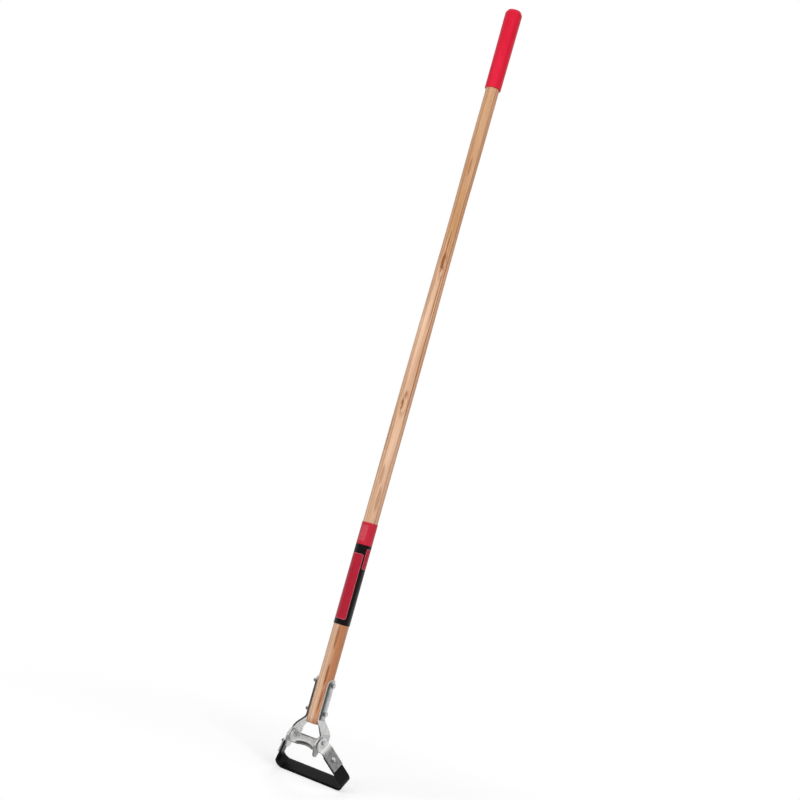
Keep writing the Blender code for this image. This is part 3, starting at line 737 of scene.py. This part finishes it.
def hexagon_block(across, height, hollow=0.0, both=False):
    """Profile of a hexagon that stands on its origin, its corners cut to a cone at the top."""
    corner = across / math.sqrt(3)
    crown = across / 2 * HEX_CROWN
    rise = (corner - crown) * HEX_CONE
    shares = [step / HEX_STEPS for step in range(HEX_STEPS + 1)]
    profile = [(hollow, 1, height), (across / 2 * HEX_FACE, 1, height)]
    profile += [(crown + (corner - crown) * share, 1, height - rise * share) for share in shares]
    if both:
        profile += [(corner - (corner - crown) * share, 1, rise * (1 - share))
                    for share in shares]
    else:
        profile.append((corner, 1, 0.0))
    return profile


def thread(radius, top_height, low_height, pitch):
    """Profile of a threaded end that runs down to a chamfered tip."""
    rows = round((top_height - low_height) / pitch * 8)
    profile = [(radius, -1, top_height + (low_height - top_height) * row / rows)
               for row in range(rows + 1)]
    end = low_height - radius * THREAD_TIP
    return profile + [(radius * (1 - THREAD_TIP), 0, end), (0.0, 0, end)]


shank_end = -2 * BOLT_SEAT - NUT_HEIGHT - BOLT_STICKOUT
profile = hexagon_block(HEX_ACROSS_FLATS, BOLT_HEAD_HEIGHT)
profile += [(BOLT_RADIUS, 0, 0.0), (BOLT_RADIUS, 0, -2 * BOLT_SEAT + BOLT_THREAD_GAP)]
profile += thread(BOLT_RADIUS, -2 * BOLT_SEAT, shank_end + BOLT_RADIUS * THREAD_TIP, BOLT_PITCH)
row_of_two = {"Sides": FASTENER_SIDES, "Count": 2, "Carrier_Place": foot,
              "Step": (0, 0, BOLT_HEIGHTS[1] - BOLT_HEIGHTS[0]),
              "Across_Flats": HEX_ACROSS_FLATS}
yoke_bolts = turned("yoke_bolts", profile, bright, Thread_Pitch=BOLT_PITCH,
                    Thread_Depth=BOLT_THREAD_DEPTH, Start=(BOLT_SEAT, 0, BOLT_HEIGHTS[0]),
                    Turn=(0, math.pi / 2, 0), **row_of_two)
profile = hexagon_block(HEX_ACROSS_FLATS, NUT_HEIGHT, BOLT_RADIUS + GRIP_SEAT, both=True)
profile += [(BOLT_RADIUS + GRIP_SEAT, 0, 0.0), profile[0]]
yoke_nuts = turned("yoke_nuts", profile, bright, Start=(-BOLT_SEAT, 0, BOLT_HEIGHTS[0]),
                   Turn=(0, -math.pi / 2, 0), **row_of_two)
for piece, nodes in ((yoke_bolts, ("handle_bolt_lower", "handle_bolt_upper")),
                     (yoke_nuts, ("handle_nut_lower", "handle_nut_upper"))):
    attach(piece, "handle_and_yoke")
    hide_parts(*nodes)

# Side arms: 26 mm strip, 2.5 mm thick. The ear at the top lies on the leg's outer side, then a
# short ledge and a bend lead to the long leaf that the blade is riveted to. Zinc plated; the arms
# wear a darker copy of the zinc as painted shade, with a painted highlight above the bend.
BLADE_TILT = math.radians(40.8)
STIRRUP_SETBACK = 0.0028
ARM_WIDTH = 0.026
ARM_WALL = 0.0025
BRIDGE_DROP = 0.0074
EAR_HEIGHT = 0.0064
EAR_CORNER = 0.010
EAR_MIDDLE = 0.0341
SHOULDER = Vector((0.0416, -BRIDGE_DROP))
SHOULDER_RADIUS = 0.0045
EAR_BEND_RADIUS = 0.0032
ARM_LEAN = math.radians(29.2)
ARM_DROP = 0.0385
RIVET_DROP = 0.0225
RIVET_HOLE_RADIUS = 0.0028
RIVET_DRILL_LENGTH = 0.016
RIVET_DRILL_INSET = 0.0026
PAINTED_BEND_HIGHLIGHT = (-0.0090, -0.0020)
LEAF_PAINTED_SHADE_LIGHT = (190, 190, 189)
LEAF_PAINTED_SHADE_DULL = (138, 138, 138)

at_pivot = Matrix.Translation(pivot) @ Matrix.Rotation(BLADE_TILT, 4, "X")
along_arm = Vector((math.sin(ARM_LEAN), -math.cos(ARM_LEAN)))
outward = Vector((math.cos(ARM_LEAN), math.sin(ARM_LEAN)))
run_middle = -BRIDGE_DROP - ARM_WALL / 2
near_edge = -STIRRUP_SETBACK - ARM_WIDTH / 2
far_edge = -STIRRUP_SETBACK + ARM_WIDTH / 2


def at_level(point, level):
    """Where a line down the arm's slope through the point reaches a level."""
    return point + along_arm * ((level - point.y) / along_arm.y)


def strip_rows(path, side, corner_top, corner_radius, columns=16, far=far_edge):
    """Rows across a bent strip whose end at corner_top has rounded corners."""
    rows = []
    heights = [point.y for point in path]
    for point, height in zip(path, heights):
        inset = 0.0
        if corner_top - height < corner_radius and abs(point.x - path[0].x) < 1e-5:
            drop = 1 - (corner_top - height) / corner_radius
            inset = corner_radius * (1 - math.sqrt(max(0.0, 1 - drop ** 2)))
        low, high = near_edge + inset, far - inset
        rows.append([Vector((point.x * side, low + (high - low) * column / columns, point.y))
                     for column in range(columns + 1)])
    return rows


def with_round_end(path, radius, steps=8):
    """Divide the path's first straight so that its end can be rounded."""
    top = path[0]
    ramp = [Vector((top.x, top.y - radius * (1 - math.cos(quarter(step, steps)))))
            for step in range(steps + 1)]
    return ramp + [point for point in path if point.y < top.y - radius - 1e-5
                   or abs(point.x - top.x) > 1e-5]


def on_stirrup(look):
    """A Flow for the look's tree, with a point's place along the pivot and its level on it."""
    flow = Flow(look.node_tree)
    x, y, z = flow.place(pivot)
    return flow, x, z * math.cos(BLADE_TILT) - y * math.sin(BLADE_TILT)


# Painted shade: the arms take a darker copy of the zinc. A painted highlight, paler and less
# metallic, lies above the bend.
arm_zinc = zinc_look("zinc_painted_shade_and_bend_light", LEAF_PAINTED_SHADE_LIGHT, LEAF_PAINTED_SHADE_DULL, 0.28)
flow, _, level = on_stirrup(arm_zinc)
bent = (level + BRIDGE_DROP).fade(*PAINTED_BEND_HIGHLIGHT)
toned(arm_zinc, flow, bent, ZINC_PAINTED_LIGHT, 1 - bent * (1 - ZINC_MATT))
arm_line = SHOULDER - outward * (ARM_WALL / 2)
rivet_point = at_level(SHOULDER, -BRIDGE_DROP - RIVET_DROP)
corners = [Vector((EAR_MIDDLE, EAR_HEIGHT)), Vector((EAR_MIDDLE, run_middle)),
           at_level(arm_line, run_middle), at_level(arm_line, -BRIDGE_DROP - ARM_DROP)]
arm_path = with_round_end(rounded_path(corners, (EAR_BEND_RADIUS, SHOULDER_RADIUS), 8, 0.003),
                          EAR_CORNER)
rivet_drills = {}
for side_name, side in (("left", -1), ("right", 1)):
    through = rivet_point - outward * RIVET_DRILL_INSET
    rivet_drills[side_name] = hole_maker(
        "rivet_drill", RIVET_HOLE_RADIUS, RIVET_DRILL_LENGTH,
        at_pivot @ Vector((through.x * side, -STIRRUP_SETBACK, through.y)),
        at_pivot.to_3x3() @ Vector((outward.x * side, 0, outward.y)))
    arm = pressed("zinc_arm_" + side_name, strip_rows(arm_path, side, EAR_HEIGHT, EAR_CORNER),
                  ARM_WALL, arm_zinc, at_pivot, [leg_drill, rivet_drills[side_name]])
    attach(arm, "stirrup")
    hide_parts("side_arm_" + side_name)

# Bridge: a pressed plate between the legs, waisted along its near edge and turned down there,
# with a flange at each end that the pivot bolt clamps to the arm. Zinc plated; its flat is painted
# brighter and less metallic as painted light, and painted shade darkens its rolled long edges.
FLANGE_MIDDLE = 0.0267
BRIDGE_BEND_RADIUS = 0.0034
BRIDGE_WAIST = 0.0069
BRIDGE_FAR_STEP = 0.0018
BRIDGE_LIP = 0.0042
BRIDGE_LIP_REACH = 0.0065
BRIDGE_FAR_RISE = 0.0012
BRIDGE_FAR_REACH = 0.0040
BRIDGE_FORM_RISE = 1.6
LIP_PAINTED_SHADE_LEVELS = (-0.0004, -0.0022)
FAR_EDGE_PAINTED_SHADE_LEVELS = (0.0001, 0.0007)
BRIDGE_PAINTED_LIGHT = (238, 238, 237)
BRIDGE_PAINTED_LIGHT_DULL = (214, 214, 213)
BRIDGE_PAINTED_SHADE = (178, 177, 178)
BRIDGE_MATT = 0.30

corners = [Vector((FLANGE_MIDDLE, EAR_HEIGHT)), Vector((FLANGE_MIDDLE, run_middle)),
           Vector((0, run_middle))]
half_path = with_round_end(rounded_path(corners, (BRIDGE_BEND_RADIUS,), 8, 0.002), EAR_CORNER)
bridge_far = far_edge - BRIDGE_FAR_STEP
bridge_width = bridge_far - near_edge
rows = strip_rows(half_path, 1, EAR_HEIGHT, EAR_CORNER, 28, bridge_far)
rows += [[Vector((-point.x, point.y, point.z)) for point in row] for row in reversed(rows[:-1])]
floor_half = FLANGE_MIDDLE - BRIDGE_BEND_RADIUS
for row in rows:
    for point in row:
        inset = max(0.0, 1 - (point.x / floor_half) ** 2)
        width = bridge_width - BRIDGE_WAIST * inset
        formed = smooth(BRIDGE_FORM_RISE * inset)
        share = (bridge_far - point.y) / bridge_width
        point.y += BRIDGE_WAIST * inset * share
        point.z -= BRIDGE_LIP * smooth(1 - (1 - share) * width / BRIDGE_LIP_REACH) * formed
        point.z += BRIDGE_FAR_RISE * smooth(1 - share * width / BRIDGE_FAR_REACH) * formed
# Painted light and shade: a brighter, less metallic copy of the zinc on the flat, darkened where
# the long edges roll.
bridge_zinc = zinc_look("zinc_painted_light_and_shade", BRIDGE_PAINTED_LIGHT, BRIDGE_PAINTED_LIGHT_DULL, 0.30)
flow, across, level = on_stirrup(bridge_zinc)
between_flanges = across.math("ABSOLUTE").fade(floor_half, floor_half - 0.003)
level = level + BRIDGE_DROP
rolled = level.fade(*LIP_PAINTED_SHADE_LEVELS) + level.fade(*FAR_EDGE_PAINTED_SHADE_LEVELS) * between_flanges
toned(bridge_zinc, flow, rolled, BRIDGE_PAINTED_SHADE, rolled * (1 - BRIDGE_MATT) + BRIDGE_MATT)
bridge = pressed("zinc_bridge", rows, ARM_WALL, bridge_zinc, at_pivot, [leg_drill])
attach(bridge, "stirrup")
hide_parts("stirrup_bridge")

# Pivots: on each side an M6 bolt with a low domed head goes through the ear, a washer, the leg
# and the flange, and its nut sits inside the bridge. The stirrup swings on the two of them.
PIVOT_RADIUS = 0.003
PIVOT_HEAD_DIA = 0.011
PIVOT_HEAD_HEIGHT = 0.0026
PIVOT_NUT_FLATS = 0.010
PIVOT_NUT_HEIGHT = 0.0032
PIVOT_STICKOUT = 0.0006
WASHER_RADIUS = 0.00625
WASHER_WALL = 0.001
WASHER_SEAT = 0.03155
HEAD_SEAT = 0.03565
NUT_SEAT = 0.02515
WASHER_ARRIS = 0.0002
PIVOT_PITCH = 0.001
PIVOT_THREAD_DEPTH = 0.0005
PIVOT_THREAD_GAP = 0.0004
DOME_STEPS = 12

pair = {"Sides": FASTENER_SIDES, "Count": 2, "Carrier_Place": pivot,
        "Carrier_Turn": (BLADE_TILT, 0, 0)}


def outer_pair(seat):
    """Row of two that face outwards, seat metres from the middle."""
    return {"Start": (seat, 0, 0), "Step": (-2 * seat, 0, 0), "Turn": (0, math.pi / 2, 0),
            "Turn_Step": (0, -math.pi, 0), **pair}


def dome(half, height, brim=0.25):
    """Profile of a domed head that stands on its origin."""
    turns = [quarter(step, DOME_STEPS) for step in range(DOME_STEPS + 1)]
    points = [(half * math.sin(turn), height * (brim + (1 - brim) * math.cos(turn)))
              for turn in turns]
    return points + [(half * 0.985, height * brim * 0.2), (half * 0.95, 0.0)]


reach = HEAD_SEAT - NUT_SEAT + PIVOT_NUT_HEIGHT + PIVOT_STICKOUT
profile = dome(PIVOT_HEAD_DIA / 2, PIVOT_HEAD_HEIGHT) + [(PIVOT_RADIUS, 0.0)]
profile += [(PIVOT_RADIUS, NUT_SEAT - HEAD_SEAT)]
profile += thread(PIVOT_RADIUS, NUT_SEAT - HEAD_SEAT - PIVOT_THREAD_GAP,
                  -reach + PIVOT_RADIUS * THREAD_TIP, PIVOT_PITCH)
pivot_bolts = turned("pivot_bolts", profile, bright, Thread_Pitch=PIVOT_PITCH,
                     Thread_Depth=PIVOT_THREAD_DEPTH, **outer_pair(HEAD_SEAT))
profile = hexagon_block(PIVOT_NUT_FLATS, PIVOT_NUT_HEIGHT, PIVOT_RADIUS + GRIP_SEAT, both=True)
profile += [(PIVOT_RADIUS + GRIP_SEAT, 0, 0.0), profile[0]]
pivot_nuts = turned("pivot_nuts", profile, bright, Across_Flats=PIVOT_NUT_FLATS,
                    Start=(NUT_SEAT, 0, 0), Step=(-2 * NUT_SEAT, 0, 0),
                    Turn=(0, -math.pi / 2, 0), Turn_Step=(0, math.pi, 0), **pair)
profile = [(PIVOT_RADIUS + GRIP_SEAT, WASHER_WALL), (WASHER_RADIUS - WASHER_ARRIS, WASHER_WALL),
           (WASHER_RADIUS, WASHER_WALL - WASHER_ARRIS), (WASHER_RADIUS, WASHER_ARRIS),
           (WASHER_RADIUS - WASHER_ARRIS, 0.0), (PIVOT_RADIUS + GRIP_SEAT, 0.0)]
profile.append(profile[0])
washers = turned("pivot_washers", profile, bright, **outer_pair(WASHER_SEAT))
for piece, node in ((pivot_bolts, "pivot_bolt"), (pivot_nuts, "pivot_nut"),
                    (washers, "pivot_washer")):
    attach(piece, "stirrup")
    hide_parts(node + "_left", node + "_right")

# Blade: one strip of spring steel, bent into a wide U whose ends lie inside the arms. Both long
# edges are ground to a bevel for cutting on the push and the pull. Painted satin black.
BLADE_WIDTH = 0.0268
BLADE_WALL = 0.0028
BLADE_DEPTH = 0.0831
BLADE_CORNER_RADIUS = 0.0114
BLADE_END_DROP = 0.012
BLADE_GROUND = 0.0032
BLADE_EDGE = 0.0009
BLADE_ARRIS = 0.0002
BLADE_BLACK = (9, 9, 10)
BLADE_SCUFF = (38, 38, 40)


def black_look():
    look, shader, flow = finish("black_enamel", Specular_IOR_Level=0.2)
    x, y, z = flow.place()
    peel = flow.cloud(x * 700, y * 700, z * 700, 2.0)
    scuff = flow.cloud(x * 260, y * 60, z * 60, 4.0, 0.6).fade(0.55, 0.80)
    dust = flow.cloud(x * 45, y * 45, z * 45, 3.0)
    base = (scuff * 0.30 + dust.fade(0.4, 0.8) * 0.16).blend(linear(BLADE_BLACK),
                                                             linear(BLADE_SCUFF))
    rough = peel * 0.08 + scuff * 0.14 + dust * 0.08 + 0.36
    feed(shader, flow, Base_Color=base, Roughness=rough, Normal=relief(flow, peel, 0.00005))
    return look


def lofted(name, rings, look, carrier):
    """Join closed rings of points, one after another, and close both ends."""
    shape = bmesh.new()
    loops = [[shape.verts.new(point) for point in ring] for ring in rings]
    for low, high in zip(loops, loops[1:]):
        for index in range(len(low)):
            after = (index + 1) % len(low)
            shape.faces.new((low[index], low[after], high[after], high[index]))
    shape.faces.new(loops[0])
    shape.faces.new(loops[-1])
    bmesh.ops.recalc_face_normals(shape, faces=shape.faces)
    mesh = as_mesh(name, shape)
    mesh.materials.append(look)
    mesh.transform(carrier)
    return shown(name, mesh)


blade_line = SHOULDER - outward * (ARM_WALL + GRIP_SEAT + BLADE_WALL / 2)
blade_level = -BLADE_DEPTH - BLADE_WALL / 2
blade_end = at_level(blade_line, -BRIDGE_DROP - BLADE_END_DROP)
blade_corner = at_level(blade_line, blade_level)
corners = [blade_end, blade_corner, Vector((-blade_corner.x, blade_level)),
           Vector((-blade_end.x, blade_end.y))]
path = rounded_path(corners, (BLADE_CORNER_RADIUS, BLADE_CORNER_RADIUS), 20, 0.004)
half_width, half_wall = BLADE_WIDTH / 2, BLADE_WALL / 2
section = [(-half_width, half_wall - BLADE_ARRIS), (-half_width, half_wall - BLADE_EDGE),
           (-half_width + BLADE_GROUND, -half_wall), (half_width - BLADE_GROUND, -half_wall),
           (half_width, half_wall - BLADE_EDGE), (half_width, half_wall - BLADE_ARRIS),
           (half_width - BLADE_ARRIS, half_wall), (-half_width + BLADE_ARRIS, half_wall)]
rings = []
for index, point in enumerate(path):
    ahead = path[min(index + 1, len(path) - 1)] - path[max(index - 1, 0)]
    out = Vector((ahead.y, -ahead.x)).normalized()
    rings.append([Vector((point.x + out.x * -rise, across - STIRRUP_SETBACK,
                          point.y + out.y * -rise)) for across, rise in section])
blade = lofted("black_blade", rings, black_look(), at_pivot)
smoothed(drilled(blade, rivet_drills.values()), 25)
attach(blade, "stirrup")
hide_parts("blade")

# Blade rivets: one through each arm and the end of the blade, round head outside and closed
# flat inside. Zinc plated steel.
RIVET_RADIUS = 0.0025
RIVET_HEAD_RADIUS = 0.0045
RIVET_HEAD_HEIGHT = 0.0022
RIVET_BACK_RADIUS = 0.004
RIVET_BACK_HEIGHT = 0.001

stem = ARM_WALL + BLADE_WALL + 3 * GRIP_SEAT
profile = dome(RIVET_HEAD_RADIUS, RIVET_HEAD_HEIGHT, 0.15) + [(RIVET_RADIUS, 0.0)]
profile += [(RIVET_RADIUS, -stem), (RIVET_BACK_RADIUS, -stem),
            (RIVET_BACK_RADIUS, -stem - RIVET_BACK_HEIGHT / 2),
            (RIVET_BACK_RADIUS - RIVET_BACK_HEIGHT / 2, -stem - RIVET_BACK_HEIGHT),
            (0.0, -stem - RIVET_BACK_HEIGHT)]
base = rivet_point + outward * GRIP_SEAT
slope = math.pi / 2 - ARM_LEAN
rivets = turned("blade_rivets", profile, bright, Start=(base.x, -STIRRUP_SETBACK, base.y),
                Step=(-2 * base.x, 0, 0), Turn=(0, slope, 0), Turn_Step=(0, -2 * slope, 0), **pair)
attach(rivets, "stirrup")
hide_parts("blade_rivet_left", "blade_rivet_right")

for spent in (*drills, leg_drill, *rivet_drills.values()):
    bpy.data.objects.remove(spent, do_unlink=True)

# Studio: a white floor that the blade stands on and throws its shadow on, three soft lamps, and
# white all round but for a darker side that only metal mirrors. The camera stands low to the
# right of the blade and looks up along the handle.
FLOOR_SIZE = 60.0
FLOOR_GREY = 0.80
FLOOR_LIFT = 0.41
FLOOR_SHADE_REACH = (0.25, 0.90)
CAMERA_FROM_FOOT = Vector((1.232691, -1.987786, 0.305206))
CAMERA_AHEAD = Vector((-0.526147, 0.841422, 0.123161))
CAMERA_UP = Vector((-0.168013, -0.244816, 0.954903))
CAMERA_LENS = 58.128
WORLD_FILL = 0.36
DARK_SIDE = Vector((0.50, -0.865, 0.05))
DARK_SIDE_SPREAD = (-0.15, 0.45)
DARK_SIDE_LEVEL = 0.10
DARK_SIDE_TOP = (0.75, 0.45)
HORIZON_LEVEL = 0.15
HORIZON_HEIGHT = 0.22
LAMP_SIZE = 1.6
LAMP_HEIGHT = 1.9
LAMP_AIM = Vector((0, 0, 0.6))
# Lamps: name, x, y and power in watts.
LAMPS = (("key", 2.4, -2.1, 48.0), ("fill", -0.6, -3.2, 33.0), ("back", -1.7, 2.75, 26.0))


def dark_side(direction):
    """How much darker than white the room is towards a direction, all heights alike."""
    toward = direction.add("ShaderNodeVectorMath", {0: direction, 1: DARK_SIDE}, out="Value",
                           operation="DOT_PRODUCT")
    return toward.fade(*DARK_SIDE_SPREAD, 0.0, 1 - DARK_SIDE_LEVEL)


def room(direction):
    """How bright polished metal sees the room: white, but dark behind the camera and low down."""
    rise = direction.split()[2]
    dark = dark_side(direction) * rise.fade(*DARK_SIDE_TOP)
    return (1 - dark) * ((rise / HORIZON_HEIGHT) ** 2).fade(0.0, 1.0, HORIZON_LEVEL, 1.0)


shape = bmesh.new()
lowest = min(corner.z for corner in (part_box("blade")[0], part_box("side_arm_left")[0]))
bmesh.ops.create_grid(shape, x_segments=1, y_segments=1, size=FLOOR_SIZE,
                      matrix=Matrix.Translation((0, 0, lowest)))
floor_mesh = as_mesh("floor", shape)
floor_look, floor_shader, flow = finish("floor", Roughness=0.9)
floor_shader.inputs["Base Color"].default_value = (FLOOR_GREY, FLOOR_GREY, FLOOR_GREY, 1)
floor_shader.inputs["Specular IOR Level"].default_value = 0.0
sight = flow.add("ShaderNodeLightPath", out="Is Camera Ray")
gloss = flow.add("ShaderNodeLightPath", out="Is Glossy Ray")
spot = flow.add("ShaderNodeTexCoord", out="Object")
aside = flow.add("ShaderNodeVectorMath", {0: spot}, operation="NORMALIZE")
glow = flow.add("ShaderNodeEmission", {"Color": 1 - gloss * dark_side(aside), "Strength": 1.0})
# Where no shadow falls, the lit floor and this lift make white, so the shadow alone shows.
floor_shader.inputs["Emission Strength"].default_value = 1.0
feed(floor_shader, flow, Emission_Color=sight * FLOOR_LIFT)
lit = Flow(flow.tree, floor_shader.outputs[0])
away = flow.add("ShaderNodeVectorMath", {0: spot}, out="Value", operation="LENGTH")
mixed = flow.add("ShaderNodeMixShader", {
    0: sight * away.fade(*FLOOR_SHADE_REACH) + gloss, 1: lit, 2: glow})
flow.tree.links.new(mixed.socket, flow.tree.nodes["Material Output"].inputs[0])
floor_mesh.materials.append(floor_look)
shown("floor", floor_mesh)

world = bpy.data.worlds.new("studio")
bpy.context.scene.world = world
world.use_nodes = True
flow = Flow(world.node_tree)
seen = flow.add("ShaderNodeLightPath", out="Is Camera Ray")
mirrored = flow.add("ShaderNodeLightPath", out="Is Glossy Ray")
sky = flow.add("ShaderNodeTexCoord", out="Generated")
strength = seen + mirrored * room(sky) + (1 - seen - mirrored) * WORLD_FILL
flow.tree.links.new(strength.socket, flow.tree.nodes["Background"].inputs["Strength"])
flow.tree.nodes["Background"].inputs["Color"].default_value = (1, 1, 1, 1)

camera_data = bpy.data.cameras.new("camera")
camera_data.lens = CAMERA_LENS
camera_data.sensor_width = 36.0
camera = bpy.data.objects.new("camera", camera_data)
bpy.context.scene.collection.objects.link(camera)
right = CAMERA_AHEAD.cross(CAMERA_UP).normalized()
turn = Matrix((right, CAMERA_UP, -CAMERA_AHEAD)).transposed().to_4x4()
camera.matrix_world = Matrix.Translation(foot + CAMERA_FROM_FOOT) @ turn
bpy.context.scene.camera = camera


def lamp(name, place, power):
    """A round soft lamp whose own disc doesn't show in the metal."""
    data = bpy.data.lights.new(name, "AREA")
    data.shape, data.size, data.energy = "DISK", LAMP_SIZE, power
    lit_by = bpy.data.objects.new(name, data)
    bpy.context.scene.collection.objects.link(lit_by)
    lit_by.location = place
    lit_by.visible_glossy = False
    lit_by.rotation_euler = (place - LAMP_AIM).to_track_quat("Z", "Y").to_euler()


for lamp_name, x, y, power in LAMPS:
    lamp(lamp_name, Vector((x, y, LAMP_HEIGHT)), power)

bpy.context.scene.view_settings.view_transform = "Standard"
